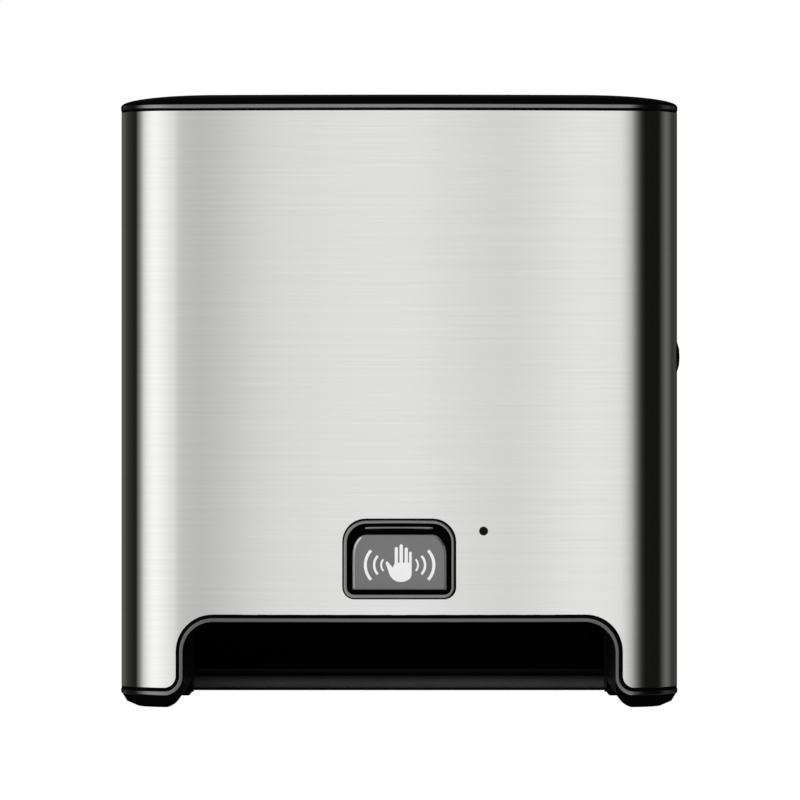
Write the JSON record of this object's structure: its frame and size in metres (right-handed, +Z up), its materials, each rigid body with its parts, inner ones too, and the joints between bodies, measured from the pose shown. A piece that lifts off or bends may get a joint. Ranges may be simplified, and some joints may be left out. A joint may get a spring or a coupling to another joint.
{
  "type": "sensor paper towel dispenser",
  "caption": "Wall-mounted hands-free roll towel dispenser: bowed steel front on a black case, sensor window, arched towel outlet and an internal powered feed.",
  "frame": {"origin": "on the wall plane, at the centre of the four wall screw holes", "axes": "+X to the right of someone facing the dispenser, +Y into the wall, +Z up; the front faces -Y"},
  "size_m": [0.3511, 0.2075, 0.379],
  "materials": {
    "case_black": "gloss black moulded plastic",
    "inner_black": "fine-textured black moulded plastic",
    "brushed_steel": "fine horizontal brushing",
    "window_grey": "tinted window plastic",
    "lamp": "dark lamp lens",
    "spring_steel": "bright steel",
    "roller_rubber": "ground grey rubber",
    "gear_plastic": "natural white acetal",
    "module_grey": "dark grey moulded plastic",
    "motor_steel": "zinc-plated can",
    "cell_wrap": "plain wrapped cells",
    "contact_metal": "nickel-plated strip",
    "board_green": "solder mask",
    "button_grey": "light grey key",
    "hub_blue": "mid-grey moulded plastic"
  },
  "bodies": {
    "housing": {"rear_housing": "inner_black", "hinge_pins": "spring_steel", "latch_strike": "spring_steel", "left_roll_arm": "module_grey", "right_arm_bracket": "module_grey", "right_arm_pin": "spring_steel", "feed_chassis": "inner_black", "front_chute": "inner_black", "rear_guide": "inner_black", "tear_bar": "spring_steel", "tear_bar_screws": "spring_steel", "roller_bushes": "gear_plastic", "pinch_rod": "spring_steel", "pinch_springs": "spring_steel", "motor": "motor_steel", "idler_axle": "spring_steel", "gearbox_cover": "module_grey", "gearbox_screws": "spring_steel", "battery_case": "module_grey", "batteries": "cell_wrap", "battery_contacts": "contact_metal", "sensor_board": "board_green", "sensor_eyes": "lamp", "control_board": "board_green", "control_panel": "module_grey", "module_screws": "spring_steel"},
    "cover": {"cover_shell": "case_black", "steel_panel": "brushed_steel", "sensor_bezel": "case_black", "sensor_window": "window_grey", "indicator_lens": "lamp", "lock_rosette": "case_black", "latch_pin": "spring_steel"},
    "lock_button": {"lock_button": "case_black"},
    "latch": {"latch_lever": "spring_steel", "latch_spring": "spring_steel"},
    "drive_roller": {"drive_shaft": "spring_steel", "drive_sleeves": "roller_rubber", "roller_gear": "gear_plastic"},
    "idler": {"idler_gear": "gear_plastic"},
    "pinion": {"motor_shaft": "spring_steel", "motor_pinion": "gear_plastic"},
    "pinch_carrier": {"pinch_frame": "module_grey"},
    "pinch_roller": {"pinch_shaft": "spring_steel", "pinch_sleeves": "roller_rubber"},
    "right_arm": {"right_roll_arm": "module_grey"},
    "left_hub": {"left_hub": "hub_blue"},
    "right_hub": {"right_hub": "hub_blue"},
    "battery_door": {"battery_door": "module_grey"},
    "feed_button": {"feed_button": "button_grey"},
    "range_slider": {"range_slider": "button_grey"}
  },
  "joints": [
    {"name": "cover_hinge", "type": "hinge", "parent": "housing", "child": "cover", "pos_m": [0, -0.058, -0.1805], "axis": [1, 0, 0], "range_deg": [0, 90]},
    {"name": "lock_press", "type": "slide", "parent": "cover", "child": "lock_button", "axis": [-1, 0, 0], "range_m": [0, 0.003], "stiffness_N_per_m": 400, "springref_m": -0.002},
    {"name": "latch_swing", "type": "hinge", "parent": "cover", "child": "latch", "pos_m": [0.157, -0.06, 0.0275], "axis": [0, 0, 1], "range_deg": [-8.6, 0], "deforming": ["latch_spring"]},
    {"name": "drive_spin", "type": "hinge", "parent": "housing", "child": "drive_roller", "pos_m": [0, -0.112, -0.072], "axis": [1, 0, 0], "continuous": true},
    {"name": "idler_spin", "type": "hinge", "parent": "housing", "child": "idler", "pos_m": [0, -0.08997, -0.08928], "axis": [1, 0, 0], "continuous": true},
    {"name": "pinion_spin", "type": "hinge", "parent": "housing", "child": "pinion", "pos_m": [0, -0.062, -0.088], "axis": [1, 0, 0], "continuous": true},
    {"name": "pinch_swing", "type": "hinge", "parent": "housing", "child": "pinch_carrier", "pos_m": [0, -0.148, -0.1], "axis": [1, 0, 0], "range_deg": [0, 8], "stiffness_Nm_per_rad": 1.2, "springref_deg": -8.59, "deforming": ["pinch_springs"]},
    {"name": "pinch_spin", "type": "hinge", "parent": "pinch_carrier", "child": "pinch_roller", "pos_m": [0, -0.1343, -0.072], "axis": [1, 0, 0], "continuous": true},
    {"name": "right_arm_swing", "type": "hinge", "parent": "housing", "child": "right_arm", "pos_m": [0.106, -0.014, 0.07], "axis": [0, 0, 1], "range_deg": [0, 15], "stiffness_Nm_per_rad": 0.8, "springref_deg": -5.73},
    {"name": "left_hub_spin", "type": "hinge", "parent": "housing", "child": "left_hub", "pos_m": [-0.1, -0.1, 0.07], "axis": [1, 0, 0], "continuous": true},
    {"name": "right_hub_spin", "type": "hinge", "parent": "right_arm", "child": "right_hub", "pos_m": [0.095, -0.1, 0.07], "axis": [1, 0, 0], "continuous": true},
    {"name": "battery_door_swing", "type": "hinge", "parent": "housing", "child": "battery_door", "pos_m": [-0.1626, -0.0799, 0], "axis": [0, 0, 1], "range_deg": [-90, 0]},
    {"name": "feed_button_press", "type": "slide", "parent": "housing", "child": "feed_button", "axis": [0, 0, -1], "range_m": [0, 0.0015], "stiffness_N_per_m": 300, "springref_m": -0.001},
    {"name": "range_slide", "type": "slide", "parent": "housing", "child": "range_slider", "axis": [1, 0, 0], "range_m": [0, 0.005]}
  ],
  "couplings": [
    {"joint": "latch_swing", "follows": "lock_press", "rad_per_m": -50},
    {"joint": "idler_spin", "follows": "drive_spin", "ratio": -2.5},
    {"joint": "pinion_spin", "follows": "drive_spin", "ratio": 9.1667},
    {"joint": "pinch_spin", "follows": "drive_spin", "ratio": -1.75}
  ]
}
